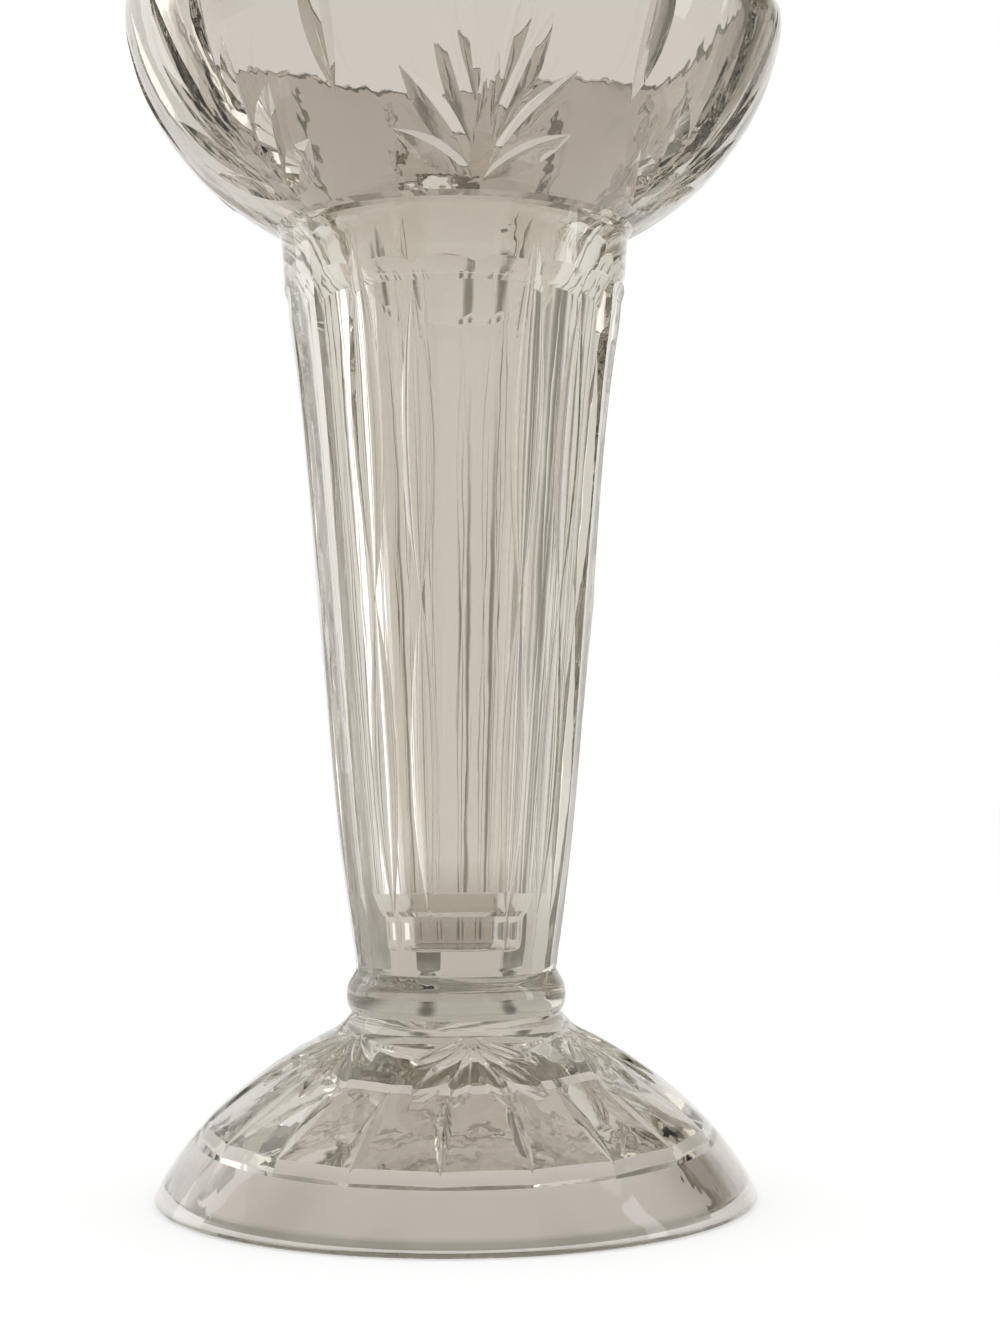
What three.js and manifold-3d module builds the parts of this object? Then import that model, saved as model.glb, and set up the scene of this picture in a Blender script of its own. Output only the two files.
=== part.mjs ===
// Cut crystal trumpet vase: four pieces of clear glass, joined hot, one above the other.
// Millimetres, +Z up, the table at z = 0. Azimuth 0 faces -Y, where a leaf spray is in front.
import * as THREE from 'three';
import { mergeVertices } from 'three/addons/utils/BufferGeometryUtils.js';
import Module from 'manifold-3d';

const wasm = await Module();
wasm.setup();

// Heights of the hot joints and of the rim above the table
const FOOT_TOP = 34.8;
const COLLAR_TOP = 42.7;
const STEM_TOP = 183;
const RIM_HEIGHT = 228.6;

// The pattern turns in sixths: a leaf spray every 60 degrees, a spear cut half way between two
const PATTERN_REPEATS = 6;
const REPEAT_ANGLE = 360 / PATTERN_REPEATS;

// Facets around the round pieces, and flat panels around the stem and under the foot
const ROUND_SEGMENTS = 60;
const STEM_SEGMENTS = 54;
const BORE_SEGMENTS = 36;
const PANELS = 18;
const PANEL_ANGLE = 360 / PANELS;

// Bowl: outside and inside from the stem joint to the rim, [radius, height]
const BOWL_OUTSIDE = [
  [34, STEM_TOP], [41.3, 187.4], [48.5, 193.2], [54.8, 200.9], [59.2, 208.7], [61.7, 216.5],
  [62.5, 221.5], [62.2, 225.6],
];
const RIM_TOP = [[61.3, 227.5], [58.9, RIM_HEIGHT], [56.4, 227.8]];
const BOWL_INSIDE = [
  [25.5, STEM_TOP], [31, 188], [38, 193.2], [44.8, 199.2], [50, 206.2], [53.5, 213.5],
  [55.3, 220], [55.7, 226.6],
];
const OUTSIDE_STEPS = 12;
const INSIDE_STEPS = 7;

// Rim: a low scallop over every leaf spray, and small notches all along the top
const RIM_SCALLOPS = PATTERN_REPEATS;
const SCALLOP_DEPTH = 5.5;
const SCALLOP_START = 208;
const RIM_NOTCHES = 42;
const NOTCH_DEPTH = 0.8;
const NOTCH_START = 227.2;

// Stem: a round blank, ground to flat panels that lift off it at both ends, [edge radius, height]
const STEM_BLANK = [
  [18.9, COLLAR_TOP], [19.5, 46], [20.7, 51.5], [23.8, 74.5], [27.7, 120], [30.5, 150.5],
  [32.1, 165], [32.5, 173], [33.1, 181], [34, STEM_TOP],
];
const PANEL_EDGES = [
  [18.5, 40], [18.95, COLLAR_TOP], [19.3, 46], [20.1, 51.5], [23.1, 74.5], [27, 120], [29.9, 150.5],
  [31.75, 165], [32.4, 170.5], [35.5, 175.5], [42, 180], [48, 188],
];
const PANEL_STEPS = 18;
const STEM_EDGES = [
  [18.9, COLLAR_TOP], [20.1, 51.5], [23.1, 74.5], [27, 120], [29.9, 150.5], [32, 167],
  [34, STEM_TOP],
];
const BORE_OUTLINE = [
  [6.9, 47.4], [8, 48.4], [8.3, 53.4], [9.3, 54.8], [10.6, 58], [14.2, 112], [17.5, 164],
  [18.9, 171], [21.5, 177], [25.5, STEM_TOP], [28, 186],
];

// Collar: a rounded ring between foot and stem
const COLLAR_OUTLINE = [
  [19.7, FOOT_TOP], [20.5, 36.3], [20.7, 38.2], [20.4, 40], [19.6, 41.5], [18.9, COLLAR_TOP],
];

// Foot: a dome that rests on a ground ring. Below are a cone up to a ledge, a panelled hollow
// with a flute along each edge between its panels, and the punty recess in the middle.
const FOOT_OUTSIDE = [
  [56.3, 1.2], [54.4, 4.9], [49.8, 11.4], [43.4, 18.1], [34.8, 24.8], [27.7, 29.2],
  [22.4, 32], [19.7, FOOT_TOP],
];
const FOOT_STEPS = 10;
const REST_RADIUS = 54.4;
const LEDGE_OUTLINE = [[50.8, -1], [50.5, 1.2], [45.4, 8.4]];
const HOLLOW_OUTLINE = [[44.2, 8], [43.5, 11], [27.8, 19.9], [26.8, 21.4], [16, 22.6]];
const PUNTY_OUTLINE = [[15.8, 20], [15, 24.2]];
const HOLLOW_SLOPE = [[24, 22.2], [27.8, 19.9], [43.5, 11], [47, 9]];
const HOLLOW_FLUTE = { from: [0, 3.5], to: [0, 23.5], halfWidth: 1.2, depth: 0.6 };
const FLUTE_STEPS = 4;

// Wheel sections of unit radius: a mitre wheel leaves a V, a flat-nosed wheel a trough
const MITRE = { sides: 3, start: 0, keel: 1, edge: Math.tan(Math.PI / 6) };
const TROUGH = { sides: 6, start: Math.PI / 6, keel: Math.cos(Math.PI / 6), edge: 1 };

// Widths of a leaf along its length: pointed at both tips, or round at the outer one
const POINTED = (share) => 4 * share * (1 - share);
const TEARDROP = (share) => 1.5 * share * Math.sqrt(3 * (1 - share));

// A cut runs from one [azimuth, distance up the outline] to another, azimuth from the middle of
// its spray. Mirrored ones are on both sides of the spray.
const BOWL_SPRAY = [
  { from: [1.6, 2.6], to: [20, 14.2], halfWidth: 3.1, depth: 1.5, mirrored: true },
  { from: [2.4, 5.6], to: [16.6, 26], halfWidth: 2.9, depth: 1.5, mirrored: true },
  { from: [2.2, 10], to: [10.2, 35.5], halfWidth: 2.4, depth: 1.4, mirrored: true },
  { from: [1.9, 18], to: [7.2, 50], halfWidth: 1.9, depth: 1.2, mirrored: true },
  { from: [-1.8, 14], to: [-0.8, 24.6], halfWidth: 1, depth: 0.7, mirrored: false },
  { from: [1.4, 14], to: [1.2, 28.5], halfWidth: 1.1, depth: 0.8, mirrored: false },
];
const SPEAR = { from: [0, 22], to: [0, 53], halfWidth: 2.9, depth: 1.9 };
const FOOT_SPRAY = [
  { from: [3, 46.6], to: [22, 38], halfWidth: 2, depth: 0.8, mirrored: true },
  { from: [2.5, 45.6], to: [18.6, 29.5], halfWidth: 2.6, depth: 0.9, mirrored: true },
  { from: [1.2, 44.6], to: [7.4, 28], halfWidth: 1.7, depth: 0.8, mirrored: true },
];
const LEAF_STEPS = 5;
const SPEAR_STEPS = 10;

// Lens cuts along the stem's edges on both sides of each spray: a lower row, and an upper row
// that is long on one side and short on the other, meeting tip to tip
const LENS_LOW = 10.5;
const LENS_MEETING = 69;
const LONG_LENS_HIGH = 136.5;
const SHORT_LENS_HIGH = 124.5;
const LENS_CUTS = [
  { from: [PANEL_ANGLE, LENS_LOW], to: [PANEL_ANGLE, LENS_MEETING], halfWidth: 3.1, depth: 1.3 },
  { from: [-PANEL_ANGLE, LENS_LOW], to: [-PANEL_ANGLE, LENS_MEETING], halfWidth: 3.1, depth: 1.3 },
  { from: [PANEL_ANGLE, LENS_MEETING], to: [PANEL_ANGLE, LONG_LENS_HIGH], halfWidth: 4, depth: 1.6 },
  { from: [-PANEL_ANGLE, LENS_MEETING], to: [-PANEL_ANGLE, SHORT_LENS_HIGH], halfWidth: 3.7, depth: 1.5 },
];
const LENS_STEPS = 6;

const GLASS_COLOUR = 0xeeebe4;
const GLASS_ROUGHNESS = 0.03;
const MERGE_DISTANCE = 1e-4;

/** Outline points as three.js vectors. */
function vectors(list) {
  return list.map(([radius, height]) => new THREE.Vector2(radius, height));
}

/** Smooth curve through a few outline points. */
function curve(list) {
  return new THREE.SplineCurve(vectors(list));
}

/** Outline closed to the axis at both ends. */
function toAxis(outline) {
  const low = new THREE.Vector2(0, outline[0].y);
  const high = new THREE.Vector2(0, outline[outline.length - 1].y);
  return [low, ...outline, high];
}

/** Vertex numbers of the triangles that have three different corners. */
function soundTriangles(index) {
  const kept = [];
  for (let i = 0; i < index.length; i += 3) {
    const [a, b, c] = [index[i], index[i + 1], index[i + 2]];
    if (a !== b && b !== c && c !== a) {
      kept.push(a, b, c);
    }
  }
  return new Uint32Array(kept);
}

/** Closed solid for cutting, made from a three.js geometry. */
function toSolid(geometry) {
  geometry.deleteAttribute('normal');
  geometry.deleteAttribute('uv');
  const merged = mergeVertices(geometry, MERGE_DISTANCE);
  return new wasm.Manifold(new wasm.Mesh({
    numProp: 3,
    vertProperties: new Float32Array(merged.attributes.position.array),
    triVerts: soundTriangles(merged.index.array),
  }));
}

/** Geometry of revolution about +Z, its first vertex `start` degrees round from -Y. */
function revolved(outline, segments, start = 0) {
  const geometry = new THREE.LatheGeometry(outline, segments, THREE.MathUtils.degToRad(start));
  geometry.rotateX(Math.PI / 2);
  return geometry;
}

/** Point `height` mm off a surface of revolution, `along` mm up its outline. */
function onSurface(outline, azimuth, along, height) {
  const share = THREE.MathUtils.clamp(along / outline.getLength(), 0, 1);
  const place = outline.getPointAt(share);
  const direction = outline.getTangentAt(share);
  const radius = place.x + direction.y * height;
  const level = place.y - direction.x * height;
  return [radius * Math.sin(azimuth), -radius * Math.cos(azimuth), level];
}

/** Spindle one unit long on +Y and one unit in radius where it is widest. */
function spindle(wheel, widthAt, steps) {
  const outline = [];
  for (let i = 0; i <= steps; i += 1) {
    const share = i / steps;
    outline.push(new THREE.Vector2(widthAt(share), share));
  }
  return new THREE.LatheGeometry(outline, wheel.sides, wheel.start);
}

/** Cutter for one leaf: a spindle bent on to the surface, its keel down in the glass. */
function leafCutter(outline, wheel, cut, turn, mirror, steps, widthAt = POINTED) {
  const fromAzimuth = THREE.MathUtils.degToRad(turn + mirror * cut.from[0]);
  const toAzimuth = THREE.MathUtils.degToRad(turn + mirror * cut.to[0]);
  const middle = outline.getPointAt((cut.from[1] + cut.to[1]) / 2 / outline.getLength());
  const sweep = new THREE.Vector2((toAzimuth - fromAzimuth) * middle.x, cut.to[1] - cut.from[1]);
  sweep.normalize();
  const geometry = spindle(wheel, widthAt, steps);
  const position = geometry.attributes.position;
  for (let i = 0; i < position.count; i += 1) {
    const share = position.getY(i);
    const side = -position.getX(i) * cut.halfWidth / wheel.edge;
    const height = -position.getZ(i) * cut.depth / wheel.keel;
    const along = THREE.MathUtils.lerp(cut.from[1], cut.to[1], share);
    const radius = outline.getPointAt(along / outline.getLength()).x;
    const azimuth = THREE.MathUtils.lerp(fromAzimuth, toAzimuth, share) + side * sweep.y / radius;
    position.setXYZ(i, ...onSurface(outline, azimuth, along - side * sweep.x, height));
  }
  return toSolid(geometry);
}

/** Cutters for one spray of leaves, on both sides of its middle line where mirrored. */
function sprayCutters(outline, spray, turn, widthAt) {
  return spray.flatMap((leaf) => {
    const sides = leaf.mirrored ? [1, -1] : [1];
    return sides.map(
      (mirror) => leafCutter(outline, MITRE, leaf, turn, mirror, LEAF_STEPS, widthAt),
    );
  });
}

/** The solid with the cutters of every repeat of the pattern taken away. */
function cutRound(solid, cuttersAt) {
  let cutSolid = solid;
  for (let repeat = 0; repeat < PATTERN_REPEATS; repeat += 1) {
    for (const tool of cuttersAt(repeat * REPEAT_ANGLE)) {
      cutSolid = cutSolid.subtract(tool);
    }
  }
  return cutSolid;
}

/** Lowers the rim over the sprays and notches its top. */
function shapeRim(geometry) {
  const position = geometry.attributes.position;
  for (let i = 0; i < position.count; i += 1) {
    const height = position.getZ(i);
    const azimuth = Math.atan2(position.getX(i), -position.getY(i));
    const rise = Math.max(0, (height - SCALLOP_START) / (RIM_HEIGHT - SCALLOP_START));
    const dip = SCALLOP_DEPTH * rise * rise * (1 + Math.cos(RIM_SCALLOPS * azimuth)) / 2;
    const notch = height > NOTCH_START ? Math.abs(Math.sin(RIM_NOTCHES * azimuth / 2)) : 0;
    position.setZ(i, height - dip - NOTCH_DEPTH * notch);
  }
  return geometry;
}

/** Bowl: a turned blank with a shaped rim, leaf sprays and spears. */
function makeBowl() {
  const outside = curve(BOWL_OUTSIDE);
  const inside = curve(BOWL_INSIDE).getSpacedPoints(INSIDE_STEPS);
  const outline = [
    inside[0],
    ...outside.getSpacedPoints(OUTSIDE_STEPS),
    ...vectors(RIM_TOP),
    ...inside.reverse(),
  ];
  const blank = toSolid(shapeRim(revolved(outline, 2 * RIM_NOTCHES)));
  return cutRound(blank, (turn) => [
    ...sprayCutters(outside, BOWL_SPRAY, turn, POINTED),
    leafCutter(outside, MITRE, SPEAR, turn + REPEAT_ANGLE / 2, 1, SPEAR_STEPS),
  ]);
}

/** Stem: a column ground to flat panels, bored from the top, with lens cuts on its edges. */
function makeStem() {
  const blank = toSolid(revolved(toAxis(vectors(STEM_BLANK)), STEM_SEGMENTS));
  const prism = toSolid(revolved(toAxis(curve(PANEL_EDGES).getSpacedPoints(PANEL_STEPS)), PANELS));
  const bore = toSolid(revolved(toAxis(vectors(BORE_OUTLINE)), BORE_SEGMENTS));
  const column = blank.intersect(prism);
  const edges = curve(STEM_EDGES);
  return cutRound(column.subtract(bore), (turn) => LENS_CUTS.map(
    (lens) => leafCutter(edges, TROUGH, lens, turn, 1, LENS_STEPS),
  ));
}

/** Collar: a rounded solid ring. */
function makeCollar() {
  const outline = curve(COLLAR_OUTLINE).getPoints(COLLAR_OUTLINE.length - 1);
  return toSolid(revolved(toAxis(outline), ROUND_SEGMENTS));
}

/** Foot: a domed disc with leaf sprays on top and a panelled, fluted hollow below. */
function makeFoot() {
  const outside = curve(FOOT_OUTSIDE);
  const outline = [new THREE.Vector2(REST_RADIUS, 0), ...outside.getSpacedPoints(FOOT_STEPS)];
  const dome = toSolid(revolved(toAxis(outline), ROUND_SEGMENTS));
  const ledge = toSolid(revolved(toAxis(vectors(LEDGE_OUTLINE)), ROUND_SEGMENTS));
  const hollow = toSolid(revolved(toAxis(vectors(HOLLOW_OUTLINE)), PANELS, PANEL_ANGLE / 2));
  const slope = curve(HOLLOW_SLOPE);
  const punty = toSolid(revolved(toAxis(vectors(PUNTY_OUTLINE)), BORE_SEGMENTS));
  let shell = dome.subtract(ledge).subtract(hollow).subtract(punty);
  for (let edge = 0.5; edge < PANELS; edge += 1) {
    const turn = edge * PANEL_ANGLE;
    shell = shell.subtract(leafCutter(slope, MITRE, HOLLOW_FLUTE, turn, 1, FLUTE_STEPS));
  }
  return cutRound(shell, (turn) => sprayCutters(outside, FOOT_SPRAY, turn, TEARDROP));
}

/** Clear, faintly warm lead crystal. */
function crystal() {
  return new THREE.MeshStandardMaterial({
    color: GLASS_COLOUR,
    roughness: GLASS_ROUGHNESS,
    metalness: 0,
  });
}

/** Named mesh of a finished solid. */
function piece(name, solid) {
  const cutMesh = solid.getMesh();
  const geometry = new THREE.BufferGeometry();
  geometry.setAttribute('position', new THREE.BufferAttribute(cutMesh.vertProperties, 3));
  geometry.setIndex(new THREE.BufferAttribute(cutMesh.triVerts, 1));
  geometry.computeVertexNormals();
  const mesh = new THREE.Mesh(geometry, crystal());
  mesh.name = name;
  return mesh;
}

const vase = new THREE.Group();
vase.name = 'vase';
vase.add(piece('bowl', makeBowl()));
vase.add(piece('stem', makeStem()));
vase.add(piece('collar', makeCollar()));
vase.add(piece('foot', makeFoot()));

export default vase;
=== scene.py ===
# %% [markdown]
# # A footed vase in cut crystal
# The real vase is made from four gathers of hot lead glass: a domed foot, a small collar, a tall
# stem and a wide bowl with a scalloped rim. Once cold it goes to the cutter, who grinds flat
# panels, lens cuts and leaf sprays into the thick walls with stone wheels, and polishes them.
# We work in the same order here: turn each blank, then take glass away with wheel-shaped cutters.

# %% Load the frame
import math

import bmesh
import bpy
from mathutils import Matrix, Vector


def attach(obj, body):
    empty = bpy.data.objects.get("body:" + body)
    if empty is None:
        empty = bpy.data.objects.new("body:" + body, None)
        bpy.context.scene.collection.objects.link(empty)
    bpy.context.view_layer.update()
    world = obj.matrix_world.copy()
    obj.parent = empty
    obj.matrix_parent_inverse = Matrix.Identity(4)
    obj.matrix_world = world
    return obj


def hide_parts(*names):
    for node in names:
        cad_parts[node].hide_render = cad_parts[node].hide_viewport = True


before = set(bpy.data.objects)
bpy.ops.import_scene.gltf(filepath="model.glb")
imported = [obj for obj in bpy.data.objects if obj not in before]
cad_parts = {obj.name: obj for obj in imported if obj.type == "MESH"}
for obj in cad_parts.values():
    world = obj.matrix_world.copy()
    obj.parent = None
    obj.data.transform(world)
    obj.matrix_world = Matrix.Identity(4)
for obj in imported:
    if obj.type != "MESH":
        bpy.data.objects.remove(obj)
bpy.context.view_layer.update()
MM = 0.001

# %% [markdown]
# Everything round on the vase comes from an outline: a short list of radii and heights, in
# millimetres, with a smooth curve drawn through it. Blender has many curve tools, but a
# Catmull-Rom curve is only a few lines, and it gives the same curve as the CAD model has.
# The outline also measures distances along the glass, which is how we place every cut later.

# %% Outlines
def curve_point(knots, i, t):
    p0, p1 = knots[max(i - 1, 0)], knots[i]
    p2, p3 = knots[i + 1], knots[min(i + 2, len(knots) - 1)]
    return tuple(
        b + 0.5 * t * (c - a + t * (2 * a - 5 * b + 4 * c - d + t * (3 * (b - c) + d - a)))
        for a, b, c, d in zip(p0, p1, p2, p3)
    )


class Outline:
    """A smooth curve of (radius, height) in mm, with places given by distance along it."""

    def __init__(self, knots, fine=40):
        spans = range(len(knots) - 1)
        self.points = [curve_point(knots, i, k / fine) for i in spans for k in range(fine)]
        self.points.append(tuple(knots[-1]))
        self.marks = [0.0]
        for a, b in zip(self.points, self.points[1:]):
            self.marks.append(self.marks[-1] + math.dist(a, b))
        self.length = self.marks[-1]

    def at(self, distance):
        """Radius, height, and the outward direction there."""
        d = min(max(distance, 0.0), self.length * 0.999999)
        low, high = 0, len(self.marks) - 1
        while high - low > 1:
            mid = (low + high) // 2
            low, high = (mid, high) if self.marks[mid] <= d else (low, mid)
        a, b = self.points[low], self.points[high]
        span = self.marks[high] - self.marks[low]
        t = (d - self.marks[low]) / span
        radius, height = a[0] + (b[0] - a[0]) * t, a[1] + (b[1] - a[1]) * t
        return radius, height, (b[1] - a[1]) / span, (a[0] - b[0]) / span

    def spaced(self, step):
        count = max(2, round(self.length / step))
        return [self.at(self.length * i / count)[:2] for i in range(count + 1)]


FOOT_TOP, COLLAR_TOP, STEM_TOP, RIM_HEIGHT = 34.8, 42.7, 183.0, 228.6
bowl_outside = Outline([
    (34, STEM_TOP), (41.3, 187.4), (48.5, 193.2), (54.8, 200.9), (59.2, 208.7), (61.7, 216.5),
    (62.5, 221.5), (62.2, 225.6),
])
bowl_inside = Outline([
    (25.5, STEM_TOP), (31, 188), (38, 193.2), (44.8, 199.2), (50, 206.2), (53.5, 213.5), (55.3, 220),
    (55.7, 226.6),
])
print("bowl outline", round(bowl_outside.length), "mm long")

# %% [markdown]
# A gather of hot glass is shaped while it spins, so its blank is a body of revolution. We start
# from a circle primitive with one vertex for each point of the outline, lay it on the outline,
# and spin it round the axis. The steps are many and even, because light bends at every facet.

# %% Blanks
TURNS = 180


def only(obj):
    """Selects one object and makes it active."""
    bpy.ops.object.select_all(action="DESELECT")
    obj.select_set(True)
    bpy.context.view_layer.objects.active = obj
    return obj


def turned(name, outline, steps=TURNS, start=0.0):
    """Spins an outline of (radius, height) in mm into a closed body."""
    bpy.ops.object.select_all(action="DESELECT")
    bpy.ops.mesh.primitive_circle_add(vertices=len(outline), radius=1, fill_type="NOTHING")
    blank = bpy.context.object
    blank.name = name
    for vertex, (radius, height) in zip(blank.data.vertices, outline):
        vertex.co = (
            radius * MM * math.sin(start), -radius * MM * math.cos(start), height * MM,
        )
    bpy.ops.object.mode_set(mode="EDIT")
    bpy.ops.mesh.select_all(action="SELECT")
    bpy.ops.mesh.spin(steps=steps, angle=math.tau, center=(0, 0, 0), axis=(0, 0, 1))
    bpy.ops.mesh.select_all(action="SELECT")
    bpy.ops.mesh.remove_doubles(threshold=1e-7)
    bpy.ops.mesh.dissolve_degenerate(threshold=1e-7)
    bpy.ops.mesh.delete_loose(use_verts=True, use_edges=True, use_faces=False)
    bpy.ops.mesh.select_all(action="SELECT")
    bpy.ops.mesh.normals_make_consistent(inside=False)
    bpy.ops.object.mode_set(mode="OBJECT")
    return blank


def combine(piece, tool, operation="DIFFERENCE"):
    """Cuts with a tool, keeps what lies in it, or adds it, and throws the tool away."""
    cut = piece.modifiers.new("cut", "BOOLEAN")
    cut.operation, cut.object, cut.solver = operation, tool, "MANIFOLD"
    only(piece)
    bpy.ops.object.modifier_apply(modifier=cut.name)
    bpy.data.objects.remove(tool)
    return piece


# %% [markdown]
# A cutter's wheel leaves a groove that is deepest in the middle and runs out to a point at both
# ends. Its section is the wheel's edge: a mitre wheel leaves a V, a blunt one a soft trough.
# To get the glass the wheel takes away, we bend a sphere: its poles become the tips of the leaf,
# its lower half gets the wheel's section, and the whole is laid along the outline of the blank.

# %% Wheel cuts
SPRAYS = 6
MITRE, TROUGH = 1.15, 2.0
# The cutter is wider than the leaf and stands over the glass, both as shares of the cut's size.
OVER, PROUD = 1.25, 0.6


def leaf_cutter(outline, cut, turn=0.0, mirror=1, rings=30, sectors=20, blunt=False):
    """The glass one cut takes away: from and to are (azimuth in degrees, distance in mm)."""
    (a0, s0), (a1, s1), half_width, depth, wheel = cut
    a0, a1 = math.radians(turn + mirror * a0), math.radians(turn + mirror * a1)
    middle = outline.at((s0 + s1) / 2)[0]
    sweep = Vector(((a1 - a0) * middle, s1 - s0)).normalized()
    bpy.ops.object.select_all(action="DESELECT")
    bpy.ops.mesh.primitive_uv_sphere_add(segments=sectors, ring_count=rings, radius=1)
    cutter = bpy.context.object
    for vertex in cutter.data.vertices:
        x, y, z = vertex.co
        share = (z + 1) / 2
        ring = math.hypot(x, y)
        side = OVER * x / ring if ring > 1e-6 else 0.0
        down = 1 - abs(side) ** wheel if y <= 1e-6 else 1 - OVER ** wheel - PROUD * y / ring
        # A blunt leaf is widest two thirds along, a pointed one in the middle.
        size = 1.5 * share * math.sqrt(3 * abs(1 - share)) if blunt else 1 - z * z
        across = side * size * half_width
        along = s0 + (s1 - s0) * share
        azimuth = a0 + (a1 - a0) * share + across * sweep.y / outline.at(along)[0]
        radius, height, out_r, out_z = outline.at(along - across * sweep.x)
        rise = -down * size * depth
        radius, height = radius + out_r * rise, height + out_z * rise
        vertex.co = Vector((radius * math.sin(azimuth), -radius * math.cos(azimuth), height)) * MM
    bpy.ops.object.mode_set(mode="EDIT")
    bpy.ops.mesh.select_all(action="SELECT")
    bpy.ops.mesh.normals_make_consistent(inside=False)
    bpy.ops.object.mode_set(mode="OBJECT")
    return cutter


def repeated(cutters, copies=SPRAYS):
    """One tool from a few cutters, repeated evenly round the axis."""
    tool = cutters[0]
    for other in cutters[1:]:
        combine(tool, other, "UNION")
    parts = [tool]
    for i in range(1, copies):
        part = tool.copy()
        part.data = tool.data.copy()
        bpy.context.collection.objects.link(part)
        part.data.transform(Matrix.Rotation(math.tau * i / copies, 4, "Z"))
        parts.append(part)
    bpy.ops.object.select_all(action="DESELECT")
    for part in parts:
        part.select_set(True)
    bpy.context.view_layer.objects.active = tool
    bpy.ops.object.join()
    return tool


# %% [markdown]
# The bowl is the widest gather. It opens from the stem in one round sweep, with a wall 7 mm
# thick. Its rim has six low scallops, one over each leaf spray, and small notches all the way
# round, which the wheel leaves. We lower the blank's own points by a cosine of the azimuth: a
# cutter for each scallop would do it too, but this keeps the rim's round edge.

# %% Bowl blank
NOTCHES, NOTCHED_FROM = 42, 227.2
STEPS_PER_NOTCH = 6


def shaped_rim(piece, lobes=SPRAYS, depth=5.5, start=208.0, notch=0.8):
    """Lowers the rim in wide scallops and small notches."""
    for vertex in piece.data.vertices:
        height = vertex.co.z / MM
        rise = max(0.0, (height - start) / (RIM_HEIGHT - start))
        azimuth = math.atan2(vertex.co.x, -vertex.co.y)
        dip = depth * rise * rise * (1 + math.cos(lobes * azimuth)) / 2
        if height > NOTCHED_FROM:
            dip += notch * abs(math.sin(NOTCHES * azimuth / 2))
        vertex.co.z -= dip * MM
    return piece


rim_top = [(61.8, 226.9), (61.1, 227.8), (60.1, 228.4), (58.9, 228.6), (57.6, 228.4), (56.4, 227.8)]
bowl_blank = bowl_outside.spaced(1.6) + rim_top + bowl_inside.spaced(1.6)[::-1]
bowl = turned("crystal_bowl", bowl_blank, steps=NOTCHES * STEPS_PER_NOTCH)
shaped_rim(bowl)
print("bowl blank", len(bowl.data.polygons), "faces")

# %% [markdown]
# Six leaf sprays climb the belly, with a spear cut half way between each two. A leaf is given
# by its two tips, its half width, its depth and the wheel. Leaves that are mirrored stand on
# both sides of the spray's middle line.

# %% Bowl cuts
BOWL_LEAVES = [
    ((1.6, 2.6), (20, 14.2), 3.1, 1.5, MITRE),
    ((2.4, 5.6), (16.6, 26), 2.9, 1.5, MITRE),
    ((2.2, 10), (10.2, 35.5), 2.4, 1.4, MITRE),
    ((1.9, 18), (7.2, 50), 1.9, 1.2, MITRE),
]
BOWL_BUDS = [((-1.8, 14), (-0.8, 24.6), 1.0, 0.7, MITRE), ((1.4, 14), (1.2, 28.5), 1.1, 0.8, MITRE)]
SPEAR = ((0, 22), (0, 53), 2.9, 1.9, MITRE)

spray = [leaf_cutter(bowl_outside, leaf, 0, side) for leaf in BOWL_LEAVES for side in (1, -1)]
spray += [leaf_cutter(bowl_outside, bud) for bud in BOWL_BUDS]
combine(bowl, repeated(spray))
combine(bowl, repeated([leaf_cutter(bowl_outside, SPEAR, 180 / SPRAYS, rings=60)]))
print("bowl cut", len(bowl.data.polygons), "faces")

# %% [markdown]
# The stem is a tapering column, bored from the top while hot and solid below. Its eighteen flat
# panels are ground afterwards, so we keep only the glass inside an eighteen-sided prism whose
# sides lift off at the top: that leaves the rounded ends that a wheel leaves.

# %% Stem blank and panels
PANELS = 18
HALF_PANEL = 180 / PANELS
stem_outside = Outline([
    (18.9, COLLAR_TOP), (20.1, 51.5), (23.1, 74.5), (27, 120), (29.9, 150.5), (32, 167),
    (34, STEM_TOP),
])
well = Outline([(0, 47.3), (4, 47.3), (6.9, 47.5), (8, 48.6), (8.3, 53.4), (9.3, 54.8), (10.6, 58)])
bore = Outline([(10.6, 58), (14.2, 112), (17.5, 164), (18.9, 171), (21.5, 177), (25.5, STEM_TOP)])
stem_blank = Outline([
    (18.9, COLLAR_TOP), (19.5, 46), (20.7, 51.5), (23.8, 74.5), (27.7, 120), (30.5, 150.5),
    (32.1, 165), (32.5, 173), (33.1, 181), (34, STEM_TOP),
])
inside = well.spaced(0.6)[:-1] + bore.spaced(1.2)
stem = turned("crystal_stem", inside + stem_blank.spaced(1.2)[::-1] + [(0, COLLAR_TOP)])
panel_edges = Outline([
    (18.5, 40), (18.95, COLLAR_TOP), (19.3, 46), (20.1, 51.5), (23.1, 74.5), (27, 120), (29.9, 150.5),
    (31.75, 165), (32.4, 170.5), (35.5, 175.5), (42, 180), (48, 188),
])
prism = [(0, 40)] + panel_edges.spaced(1.0) + [(0, 188)]
combine(stem, turned("panels", prism, steps=PANELS), "INTERSECT")
print("stem", len(stem.data.polygons), "faces")

# %% [markdown]
# Long lens cuts run along the edges between the panels, on both sides of each spray. An edge
# stands proud of a blunt wheel, so the cut comes out widest in the middle and sharp at the tips.

# %% Lens cuts
LENSES = [
    ((20, 10.5), (20, 69), 3.1, 1.3, TROUGH), ((-20, 10.5), (-20, 69), 3.1, 1.3, TROUGH),
    ((20, 69), (20, 136.5), 4.0, 1.6, TROUGH), ((-20, 69), (-20, 124.5), 3.7, 1.5, TROUGH),
]
for lens in LENSES:
    combine(stem, repeated([leaf_cutter(stem_outside, lens, rings=50, sectors=28)]))
print("stem cut", len(stem.data.polygons), "faces")

# %% [markdown]
# The collar is a rounded ring of glass. It hides the hot joint between stem and foot. It has no
# cuts, so its steps can be fine: light is bent most where glass is rounded tightly.

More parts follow.
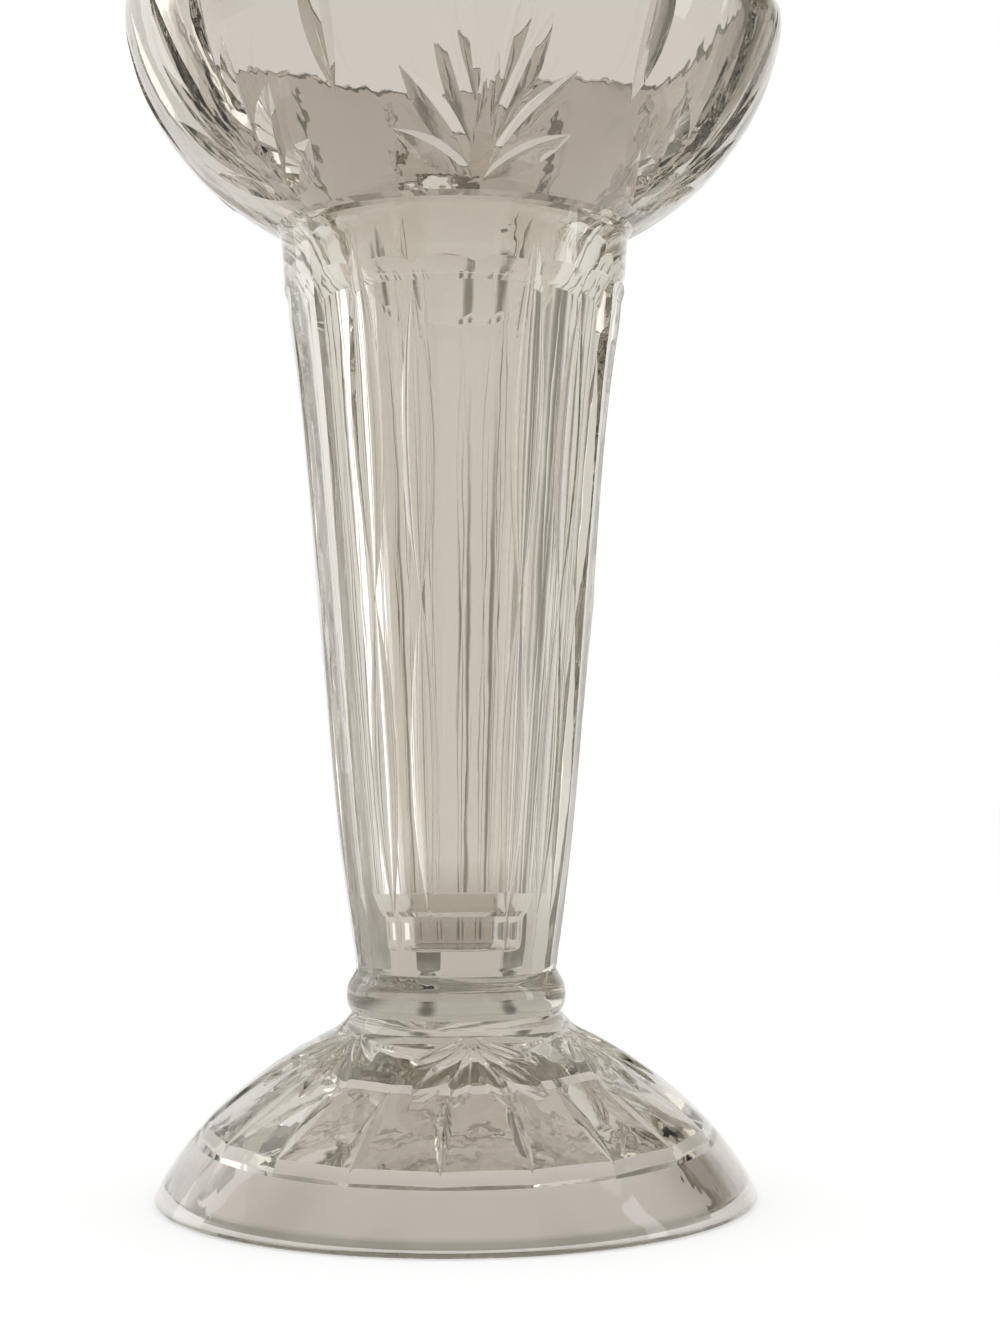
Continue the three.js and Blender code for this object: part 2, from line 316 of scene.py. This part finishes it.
# %% Collar
collar_outside = Outline([
    (19.7, FOOT_TOP), (20.5, 36.3), (20.7, 38.2), (20.4, 40), (19.6, 41.5), (18.9, COLLAR_TOP),
])
collar_blank = [(0, FOOT_TOP)] + collar_outside.spaced(0.5) + [(0, COLLAR_TOP)]
collar = turned("crystal_collar", collar_blank)
print("collar", len(collar.data.polygons), "faces")

# %% [markdown]
# The foot is a dome pressed in a mould, with a ground ring that it stands on. Below it has a
# ledge, a hollow with as many sides as the stem has panels, and a round recess at its top.

# %% Foot
foot_outside = Outline([
    (56.3, 1.2), (54.4, 4.9), (49.8, 11.4), (43.4, 18.1), (34.8, 24.8), (27.7, 29.2),
    (22.4, 32), (19.7, FOOT_TOP),
])
rounded_edge = [(54.4, 0), (55.4, 0.15), (56.0, 0.5)]
foot = turned("crystal_foot", [(0, 0)] + rounded_edge + foot_outside.spaced(1.1) + [(0, FOOT_TOP)])

ledge = [(0, -1), (50.8, -1), (50.5, 1.2), (45.4, 8.4), (0, 8.4)]
hollow = [(0, 8), (44.2, 8), (43.5, 11), (27.8, 19.9), (26.8, 21.4), (16, 22.6), (0, 22.6)]
recess = [(0, 20), (15.8, 20), (15, 24.2), (0, 24.6)]
combine(foot, turned("ledge", ledge))
combine(foot, turned("hollow", hollow, steps=PANELS, start=math.radians(HALF_PANEL)))
combine(foot, turned("recess", recess))
print("hollow foot", len(foot.data.polygons), "faces")

# %% [markdown]
# The mould also leaves a fine groove along each edge of the hollow, and on the dome six sprays of
# six leaves, whose ends are round where the bowl's are pointed.

# %% Foot cuts
hollow_slope = Outline([(24, 22.2), (27.8, 19.9), (43.5, 11), (47, 9)])
GROOVE = ((0, 3.5), (0, 23.5), 1.2, 0.6, MITRE)
combine(foot, repeated([leaf_cutter(hollow_slope, GROOVE, HALF_PANEL, rings=20)], copies=PANELS))
FOOT_LEAVES = [
    ((3, 46.6), (22, 38), 2.0, 0.8, TROUGH), ((2.5, 45.6), (18.6, 29.5), 2.6, 0.9, TROUGH),
    ((1.2, 44.6), (7.4, 28), 1.7, 0.8, TROUGH),
]
spray = [
    leaf_cutter(foot_outside, leaf, 0, side, blunt=True) for leaf in FOOT_LEAVES for side in (1, -1)
]
combine(foot, repeated(spray))
print("foot cut", len(foot.data.polygons), "faces")

# %% [markdown]
# Lead crystal is clear and heavy, and it bends light more than window glass does: its index of
# refraction is about 1.55. A shader with full transmission gives the clear body. A volume that
# takes up a little light, more of the blue, makes the long ways through the glass greyer and
# warmer than the short ones. Each piece has its own tint and density: the bowl and the foot are
# thin and the stem is thick, and beyond that the same glass is tinted darker or paler per piece,
# the collar darkest, as painted shade. Hand polishing leaves very low waves, drawn out along the
# glass, and they make the lines behind it run unevenly, so a stretched noise drives a small bump.
# The foot comes smoother from its mould, so its waves are weaker. Clear glass lets most light
# through, so shadow rays meet a nearly white, see-through shader instead.

# %% Crystal
LEAD_CRYSTAL_IOR = 1.55
ABSORPTION = (0.4, 0.35, 0.2)
PALE_SHADOW = (0.92, 0.92, 0.91)
WAVES_PER_METRE, WAVE_HEIGHT = 260.0, 0.1 * MM
# Tint, density and wave strength per piece. The tints are painted shade: all four pieces are one
# glass, tinted darker or paler.
GLASS_AND_PAINTED_SHADE = {
    "bowl": ((0.63, 0.585, 0.53), 14, 0.7), "stem": ((0.785, 0.75, 0.695), 6, 0.7),
    "collar": ((0.47, 0.44, 0.39), 6, 0.7), "foot": ((0.63, 0.59, 0.54), 8, 0.3),
}


def polish_waves(nodes, links, shader, strength):
    """Low waves, four times as long as wide, seen only by the way they bend light."""
    place, stretch = nodes.new("ShaderNodeTexCoord"), nodes.new("ShaderNodeMapping")
    stretch.inputs["Scale"].default_value = (1, 1, 0.25)
    waves, polish = nodes.new("ShaderNodeTexNoise"), nodes.new("ShaderNodeBump")
    waves.inputs["Scale"].default_value = WAVES_PER_METRE
    waves.inputs["Detail"].default_value = 1.5
    polish.inputs["Strength"].default_value = strength
    polish.inputs["Distance"].default_value = WAVE_HEIGHT
    links.new(place.outputs["Object"], stretch.inputs["Vector"])
    links.new(stretch.outputs["Vector"], waves.inputs["Vector"])
    links.new(waves.outputs["Fac"], polish.inputs["Height"])
    links.new(polish.outputs["Normal"], shader.inputs["Normal"])


def clear_joint(nodes, links, shader):
    """No surface where the attribute joint is 1."""
    joint, shown = nodes.new("ShaderNodeAttribute"), nodes.new("ShaderNodeMath")
    joint.attribute_name = "joint"
    shown.operation = "SUBTRACT"
    shown.inputs[0].default_value = 1.0
    links.new(joint.outputs["Fac"], shown.inputs[1])
    links.new(shown.outputs[0], shader.inputs["Alpha"])


def crystal(name, tint, density, waves):
    """Polished crystal, with a tint at its faces and a density inside."""
    material = bpy.data.materials.new(name)
    material.use_nodes = True
    nodes, links = material.node_tree.nodes, material.node_tree.links
    shader, output = nodes["Principled BSDF"], nodes["Material Output"]
    shader.inputs["Base Color"].default_value = (*tint, 1)
    shader.inputs["Roughness"].default_value = 0.0
    shader.inputs["IOR"].default_value = LEAD_CRYSTAL_IOR
    shader.inputs["Transmission Weight"].default_value = 1.0
    polish_waves(nodes, links, shader, waves)
    clear_joint(nodes, links, shader)
    path, clear = nodes.new("ShaderNodeLightPath"), nodes.new("ShaderNodeBsdfTransparent")
    clear.inputs["Color"].default_value = (*PALE_SHADOW, 1)
    pale_shadow = nodes.new("ShaderNodeMixShader")
    links.new(path.outputs["Is Shadow Ray"], pale_shadow.inputs["Fac"])
    links.new(shader.outputs["BSDF"], pale_shadow.inputs[1])
    links.new(clear.outputs["BSDF"], pale_shadow.inputs[2])
    links.new(pale_shadow.outputs["Shader"], output.inputs["Surface"])
    volume = nodes.new("ShaderNodeVolumeAbsorption")
    volume.inputs["Color"].default_value = (*ABSORPTION, 1)
    volume.inputs["Density"].default_value = density
    links.new(volume.outputs["Volume"], output.inputs["Volume"])
    return material


crystals = {node: crystal(node + "_crystal", *GLASS_AND_PAINTED_SHADE[node]) for node in GLASS_AND_PAINTED_SHADE}
print("crystal for", ", ".join(crystals))

# %% [markdown]
# Where the glass is thick, at the solid end of the stem and where it widens into the bowl, the
# real vase is darker than one density for the whole piece can make it. A colour ramp, driven by
# the height in Object coordinates, deepens the tint there, as painted shade. The foot gets a ramp
# of painted shade too: its ring is darker than its dome, and its lowest millimetre, which is ground
# flat to stand on, is tinted deepest, a painted contact shadow that draws an olive line along the
# table.

# %% Tints and painted shade by height
# Painted shade: the stem's two ends and the foot's ring are tinted darker, and the foot's lowest
# millimetre darkest, as a painted contact shadow.
TINTS_AND_PAINTED_SHADE = {
    "stem": [
        (COLLAR_TOP, (0.53, 0.49, 0.43)), (51, (0.57, 0.53, 0.47)), (64, (0.785, 0.75, 0.695)),
        (165, (0.785, 0.75, 0.695)), (STEM_TOP, (0.68, 0.64, 0.58)),
    ],
    "foot": [
        (0, (0.3, 0.285, 0.235)), (1.1, (0.3, 0.285, 0.235)), (1.9, (0.57, 0.53, 0.49)),
        (9, (0.57, 0.53, 0.49)), (14, (0.70, 0.66, 0.61)), (FOOT_TOP, (0.65, 0.61, 0.56)),
    ],
}


def tint_and_painted_shade_by_height(material, shade_tints):
    """Runs evenly from tint to tint, each given with its height in millimetres."""
    nodes, links = material.node_tree.nodes, material.node_tree.links
    low, high = shade_tints[0][0], shade_tints[-1][0]
    place, axes = nodes.new("ShaderNodeTexCoord"), nodes.new("ShaderNodeSeparateXYZ")
    span, ramp = nodes.new("ShaderNodeMapRange"), nodes.new("ShaderNodeValToRGB")
    span.inputs["From Min"].default_value = low * MM
    span.inputs["From Max"].default_value = high * MM
    stops = ramp.color_ramp.elements
    while len(stops) < len(shade_tints):
        stops.new(0.5)
    for stop, (height, tint) in zip(stops, shade_tints):
        stop.position = (height - low) / (high - low)
        stop.color = (*tint, 1)
    links.new(place.outputs["Object"], axes.inputs["Vector"])
    links.new(axes.outputs["Z"], span.inputs["Value"])
    links.new(span.outputs["Result"], ramp.inputs["Fac"])
    links.new(ramp.outputs["Color"], nodes["Principled BSDF"].inputs["Base Color"])


for node, shade_tints in TINTS_AND_PAINTED_SHADE.items():
    tint_and_painted_shade_by_height(crystals[node], shade_tints)
    print(node, "has", len(shade_tints), "shade_tints")

# %% [markdown]
# The four gathers are fused hot, so in the real vase nothing is left to see where they meet. Our
# pieces stay separate, and each closes with a flat face. We mark those faces with an attribute,
# which the shader reads to leave them out. Shading is smooth up to 14 degrees between faces:
# that rounds the turned blanks, and leaves the edges of panels and leaves sharp.

# %% Fused joints
JOINTS = {
    "bowl": [STEM_TOP], "stem": [COLLAR_TOP, STEM_TOP], "collar": [FOOT_TOP, COLLAR_TOP],
    "foot": [FOOT_TOP],
}
SHARP_FROM = math.radians(14)

for node, piece in (("bowl", bowl), ("stem", stem), ("collar", collar), ("foot", foot)):
    piece.data.materials.clear()
    piece.data.materials.append(crystals[node])
    mark = piece.data.attributes.new("joint", "FLOAT", "FACE")
    for face in piece.data.polygons:
        flat = abs(face.normal.z) > 0.999
        meets = any(abs(face.center.z / MM - z) < 0.01 for z in JOINTS[node])
        mark.data[face.index].value = float(flat and meets)
    only(piece)
    bpy.ops.object.shade_smooth_by_angle(angle=SHARP_FROM)
    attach(piece, "root")
    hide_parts(node)
    hidden = sum(share.value > 0.5 for share in mark.data)
    print(node, len(piece.data.polygons), "faces,", hidden, "of them in a joint")

# %% [markdown]
# The foot comes out of a mould and was fire polished, so its leaves have soft borders where the
# wheel's are crisp. On the side that looks up, edges of up to 42 degrees are shaded smooth too.

# %% Soft leaves
SOFT_UP_TO = math.radians(42)

shape = bmesh.new()
shape.from_mesh(foot.data)
softened = 0
for edge in shape.edges:
    if edge.smooth or any(face.normal.z < 0.05 for face in edge.link_faces):
        continue
    if edge.calc_face_angle() < SOFT_UP_TO:
        edge.smooth = True
        softened += 1
shape.to_mesh(foot.data)
shape.free()
print(softened, "edges softened on the foot")

# %% [markdown]
# Glass shows what stands round it, so the stage matters as much as the material. The floor is
# white paper. Its colour keeps the shadow, and what it lacks to white is added only for rays
# that come from the camera or through glass. Light Path tells these rays from the others.

# %% Floor
def seen_directly(tree):
    """1 for camera, mirror and glass rays, 0 for the light that falls on things."""
    path = tree.nodes.new("ShaderNodeLightPath")
    value = path.outputs["Is Camera Ray"]
    for other in ("Is Glossy Ray", "Is Transmission Ray"):
        either = tree.nodes.new("ShaderNodeMath")
        either.operation = "MAXIMUM"
        tree.links.new(value, either.inputs[0])
        tree.links.new(path.outputs[other], either.inputs[1])
        value = either.outputs[0]
    return value


def matt(name, colour):
    """A dull paint or paper, and its shader."""
    material = bpy.data.materials.new(name)
    material.use_nodes = True
    shader = material.node_tree.nodes["Principled BSDF"]
    shader.inputs["Base Color"].default_value = (*colour, 1)
    shader.inputs["Roughness"].default_value = 1.0
    shader.inputs["Specular IOR Level"].default_value = 0.0
    return material, shader


PAPER, UP_TO_WHITE = (0.8, 0.8, 0.8), 0.52

bpy.ops.object.select_all(action="DESELECT")
bpy.ops.mesh.primitive_plane_add(size=8, location=(0, 0, 0))
floor = bpy.context.object
floor.name = "floor"
paper, paper_shader = matt("white_paper", PAPER)
paper_shader.inputs["Emission Color"].default_value = (1, 1, 1, 1)
glow = paper.node_tree.nodes.new("ShaderNodeMath")
glow.operation = "MULTIPLY"
glow.inputs[1].default_value = UP_TO_WHITE
paper.node_tree.links.new(seen_directly(paper.node_tree), glow.inputs[0])
paper.node_tree.links.new(glow.outputs[0], paper_shader.inputs["Emission Strength"])
floor.data.materials.append(paper)
print("floor", [round(side, 1) for side in floor.dimensions[:2]], "m")

# %% [markdown]
# The world is a white studio in the same way: strength 1, which is white, where it is looked at,
# and a softer 0.6 where it lights the vase and the floor.

# %% World
LIGHTS_AT, SEEN_AT = 0.6, 1.0

world = bpy.context.scene.world or bpy.data.worlds.new("studio")
bpy.context.scene.world = world
world.use_nodes = True
nodes, links = world.node_tree.nodes, world.node_tree.links
nodes.clear()
strength = nodes.new("ShaderNodeMapRange")
strength.inputs["To Min"].default_value = LIGHTS_AT
strength.inputs["To Max"].default_value = SEEN_AT
links.new(seen_directly(world.node_tree), strength.inputs["Value"])
sky, out = nodes.new("ShaderNodeBackground"), nodes.new("ShaderNodeOutputWorld")
sky.inputs["Color"].default_value = (1, 1, 1, 1)
links.new(strength.outputs["Result"], sky.inputs["Strength"])
links.new(sky.outputs[0], out.inputs["Surface"])
print("the world lights at", LIGHTS_AT, "and is seen at", SEEN_AT)

# %% [markdown]
# The white streaks in cut glass are bright, narrow things seen in its facets. Two softboxes, one
# behind on the left and one on the right, are enough. They are placed by azimuth, with 0 in
# front of the vase and 90 on its right, and a helper turns them to face it.

# %% Softboxes
def facing(azimuth, distance, height, aim=0.12):
    """A place round the vase, and the turn that faces its middle from there."""
    a = math.radians(azimuth)
    place = Vector((distance * math.sin(a), -distance * math.cos(a), height))
    return place, (place - Vector((0, 0, aim))).to_track_quat("Z", "Y").to_euler()


def softbox(name, azimuth, distance, height, width, tall, radiance):
    """A flat lamp, as bright as white paper at a radiance of 1."""
    light = bpy.data.lights.new(name, "AREA")
    light.shape, light.size, light.size_y = "RECTANGLE", width, tall
    light.energy = radiance * math.pi * width * tall
    lamp = bpy.data.objects.new(name, light)
    bpy.context.collection.objects.link(lamp)
    lamp.location, lamp.rotation_euler = facing(azimuth, distance, height)
    print(name, round(light.energy, 2), "W")
    return lamp


softbox("left_softbox", -126, 0.9, 0.40, 0.35, 0.9, 1.0)
softbox("right_softbox", 75, 0.9, 0.35, 0.14, 0.7, 2.0)

# %% [markdown]
# In an all-white studio clear glass would vanish, so its edges are drawn with darkness. Warm grey
# cards stand round the vase, outside the picture. Their edges fade out, by the distance from the
# card's middle in its own coordinates, because a hard edge would show as a line in every facet.
# Only glass and mirror rays see them, so that they take no light from the floor.

# %% Grey cards
def card(name, azimuth, distance, height, width, tall, grey):
    """A warm grey card that fades out towards its edges."""
    bpy.ops.object.select_all(action="DESELECT")
    place, turn = facing(azimuth, distance, height)
    bpy.ops.mesh.primitive_plane_add(size=1, location=place, rotation=turn)
    board = bpy.context.object
    board.name = name
    board.scale = (width, tall, 1)
    paint, shader = matt(name, (grey * 1.05, grey, grey * 0.88))
    nodes, links = paint.node_tree.nodes, paint.node_tree.links
    own, away = nodes.new("ShaderNodeTexCoord"), nodes.new("ShaderNodeVectorMath")
    away.operation = "LENGTH"
    links.new(own.outputs["Object"], away.inputs[0])
    fade = nodes.new("ShaderNodeMapRange")
    fade.interpolation_type = "SMOOTHSTEP"
    fade.inputs["From Min"].default_value = 0.5
    fade.inputs["From Max"].default_value = 0.1
    links.new(away.outputs["Value"], fade.inputs["Value"])
    links.new(fade.outputs["Result"], shader.inputs["Alpha"])
    board.data.materials.append(paint)
    board.visible_camera = board.visible_shadow = board.visible_diffuse = False
    return board


cards = [
    card("left_card", -86, 0.8, 0.35, 0.5, 1.6, 0.6),
    card("right_card", 118, 0.7, 0.35, 0.8, 1.6, 0.45),
    card("front_left_card", -35, 0.9, 0.35, 0.5, 1.6, 0.6),
    card("front_right_card", 40, 0.9, 0.35, 0.5, 1.6, 0.6),
    card("back_left_card", -166, 0.7, 0.14, 0.12, 0.38, 0.4),
    card("back_right_card", 163, 0.7, 0.14, 0.12, 0.38, 0.4),
]
print(len(cards), "grey cards")

# %% [markdown]
# The camera stands close, 437 mm from the vase's axis and 82 mm above the table, and looks up a
# little. So near, we see the foot from above and the bowl from below. The vase is left of the
# middle of the picture, which a small turn of the camera gives, without any shift of the lens.

# %% Camera
PICTURE_HEIGHT, FOCAL_PIXELS, OFF_MIDDLE = 1329, 2300, 44.5
DISTANCE, EYE, AZIMUTH = 0.437, 0.082, math.radians(-6.5)
PITCH, ROLL = math.radians(2.38), math.radians(0.17)
SENSOR_HEIGHT = 36

yaw = math.atan(OFF_MIDDLE / FOCAL_PIXELS)
level = Vector((math.cos(yaw), -math.sin(yaw), 0))
ahead = Vector((math.sin(yaw) * math.cos(PITCH), math.cos(yaw) * math.cos(PITCH), math.sin(PITCH)))
plumb = level.cross(ahead)
right = level * math.cos(ROLL) - plumb * math.sin(ROLL)
up = level * math.sin(ROLL) + plumb * math.cos(ROLL)
looking = Matrix((right, up, -ahead)).transposed().to_4x4()

camera = bpy.data.objects.new("camera", bpy.data.cameras.new("camera"))
bpy.context.collection.objects.link(camera)
around = Matrix.Rotation(AZIMUTH, 4, "Z")
camera.matrix_world = around @ Matrix.Translation((0, -DISTANCE, EYE)) @ looking
camera.data.sensor_width = SENSOR_HEIGHT
camera.data.lens = FOCAL_PIXELS / PICTURE_HEIGHT * SENSOR_HEIGHT
camera.data.clip_start = 0.01
bpy.context.scene.camera = camera
print("lens", round(camera.data.lens, 1), "mm")

# %% [markdown]
# A ray that enters cut glass is bent and mirrored many times before it comes out again, and one
# that is given up too early comes back black. So we allow 32 bounces through glass. The colours
# are left as they are, with the Standard view transform.

# %% Light paths
scene = bpy.context.scene
scene.view_settings.view_transform = "Standard"
scene.cycles.max_bounces = 32
scene.cycles.transmission_bounces = 32
scene.cycles.glossy_bounces = 12
scene.cycles.transparent_max_bounces = 32
print("bounces", scene.cycles.max_bounces)
